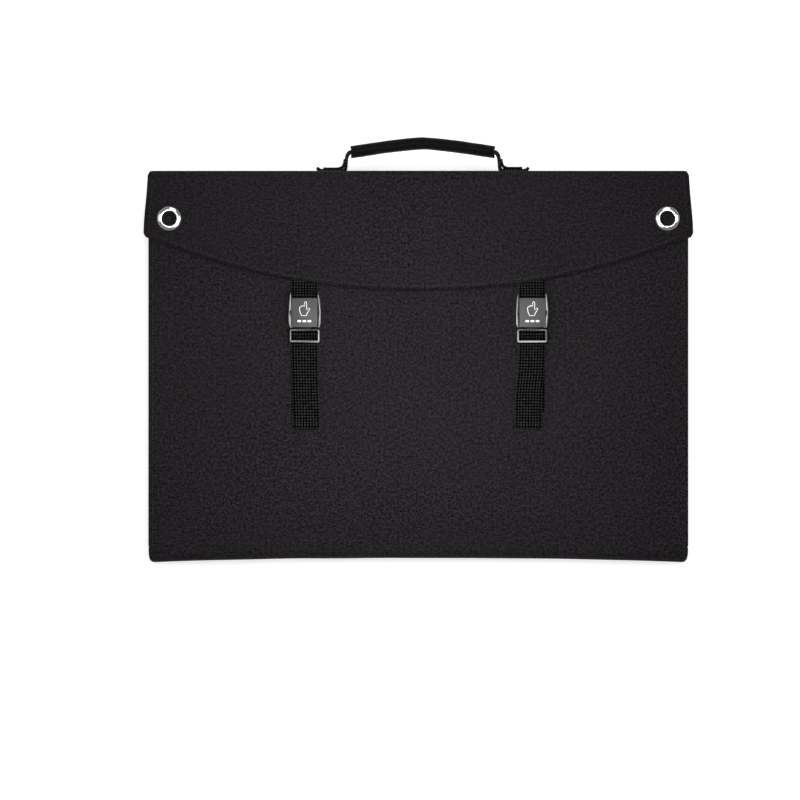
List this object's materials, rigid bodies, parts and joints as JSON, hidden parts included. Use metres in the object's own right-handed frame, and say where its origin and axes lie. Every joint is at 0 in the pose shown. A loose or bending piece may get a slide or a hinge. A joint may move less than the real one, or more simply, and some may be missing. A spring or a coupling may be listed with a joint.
{
  "type": "folding solar blanket",
  "caption": "Fabric solar blanket folded shut like a briefcase: hinged solar leaves, carry handle, and a flap closed by press buckles.",
  "frame": {"origin": "on the ground under the middle of the back panel, which the folded blanket lies on", "axes": "+X to the right as the closed front is looked at, +Y from the bottom fold towards the handle, +Z away from the ground, out of the front"},
  "size_m": [0.5364, 0.4136, 0.052],
  "materials": {
    "case_fabric": "charcoal coated woven polyester, matt",
    "webbing": "black ribbed nylon webbing",
    "board": "grey stiffener board",
    "solar_laminate": "dark blue-black cells under a clear film",
    "eyelet_nickel": "polished nickel plate",
    "buckle_plastic": "black moulded acetal",
    "press_plate": "grey moulded acetal, satin",
    "box_plastic": "black moulded plastic",
    "spring_steel": "plain",
    "cable_rubber": "matt"
  },
  "bodies": {
    "back_panel": {"panel_1_cover": "case_fabric", "panel_1_board": "board", "panel_1_laminate": "solar_laminate", "panel_1_border": "case_fabric", "spine": "case_fabric", "spine_board": "board", "handle_foot_left": "webbing", "handle_foot_right": "webbing"},
    "handle": {"handle_webbing": "webbing", "handle_sleeve": "case_fabric"},
    "flap": {"flap_cover": "case_fabric", "flap_lining": "case_fabric", "flap_hinge": "case_fabric", "eyelet_left": "eyelet_nickel", "eyelet_washer_left": "eyelet_nickel", "buckle_socket_left": "buckle_plastic", "button_spring_left": "spring_steel", "strap_upper_left": "webbing", "eyelet_right": "eyelet_nickel", "eyelet_washer_right": "eyelet_nickel", "buckle_socket_right": "buckle_plastic", "button_spring_right": "spring_steel", "strap_upper_right": "webbing"},
    "button_left": {"buckle_button_left": "press_plate"},
    "button_right": {"buckle_button_right": "press_plate"},
    "panel_2": {"panel_2_cover": "case_fabric", "panel_2_board": "board", "panel_2_laminate": "solar_laminate", "panel_2_border": "case_fabric", "cable_pocket": "case_fabric", "junction_box_base": "box_plastic", "junction_box_lid": "box_plastic", "output_socket": "box_plastic", "fold_1_2": "case_fabric", "jumper_1_2": "cable_rubber"},
    "panel_3": {"panel_3_cover": "case_fabric", "panel_3_board": "board", "panel_3_laminate": "solar_laminate", "panel_3_border": "case_fabric", "fold_2_3": "case_fabric", "jumper_2_3": "cable_rubber"},
    "panel_4": {"panel_4_cover": "case_fabric", "panel_4_board": "board", "panel_4_laminate": "solar_laminate", "panel_4_border": "case_fabric", "fold_3_4": "case_fabric", "jumper_3_4": "cable_rubber", "strap_anchor_left": "webbing", "strap_anchor_right": "webbing"},
    "plug_left": {"buckle_plug_left": "buckle_plastic", "strap_tail_left": "webbing"},
    "plug_right": {"buckle_plug_right": "buckle_plastic", "strap_tail_right": "webbing"}
  },
  "joints": [
    {"name": "handle_tilt", "type": "hinge", "parent": "back_panel", "child": "handle", "pos_m": [0.0045, 0.193, 0.021], "axis": [-1, 0, 0], "range_deg": [-50, 20], "deforming": ["handle_webbing"]},
    {"name": "flap_open", "type": "hinge", "parent": "back_panel", "child": "flap", "pos_m": [0, 0.188, 0.0452], "axis": [-1, 0, 0], "range_deg": [0, 188], "deforming": ["flap_hinge"]},
    {"name": "panel_2_fold", "type": "hinge", "parent": "back_panel", "child": "panel_2", "pos_m": [0, -0.1935, 0.013], "axis": [1, 0, 0], "range_deg": [0, 179.9], "deforming": ["fold_1_2", "jumper_1_2"]},
    {"name": "panel_3_fold", "type": "hinge", "parent": "panel_2", "child": "panel_3", "pos_m": [0, 0.1859, 0.02585], "axis": [-1, 0, 0], "range_deg": [0, 179.9], "deforming": ["fold_2_3", "jumper_2_3"]},
    {"name": "panel_4_fold", "type": "hinge", "parent": "panel_3", "child": "panel_4", "pos_m": [0, -0.1935, 0.0388], "axis": [1, 0, 0], "range_deg": [0, 179.9], "deforming": ["fold_3_4", "jumper_3_4"]},
    {"name": "button_left_press", "type": "hinge", "parent": "flap", "child": "button_left", "pos_m": [-0.111, 0.0519, 0.0505], "axis": [-1, 0, 0], "range_deg": [0, 7], "stiffness_Nm_per_rad": 0.4, "deforming": ["button_spring_left"]},
    {"name": "plug_left_release", "type": "slide", "parent": "panel_4", "child": "plug_left", "axis": [0, -1, 0], "range_m": [0, 0.03], "deforming": ["strap_anchor_left"]},
    {"name": "button_right_press", "type": "hinge", "parent": "flap", "child": "button_right", "pos_m": [0.111, 0.0519, 0.0505], "axis": [-1, 0, 0], "range_deg": [0, 7], "stiffness_Nm_per_rad": 0.4, "deforming": ["button_spring_right"]},
    {"name": "plug_right_release", "type": "slide", "parent": "panel_4", "child": "plug_right", "axis": [0, -1, 0], "range_m": [0, 0.03], "deforming": ["strap_anchor_right"]}
  ],
  "couplings": [
    {"joint": "panel_3_fold", "follows": "panel_2_fold", "ratio": 1},
    {"joint": "panel_4_fold", "follows": "panel_2_fold", "ratio": 1}
  ]
}
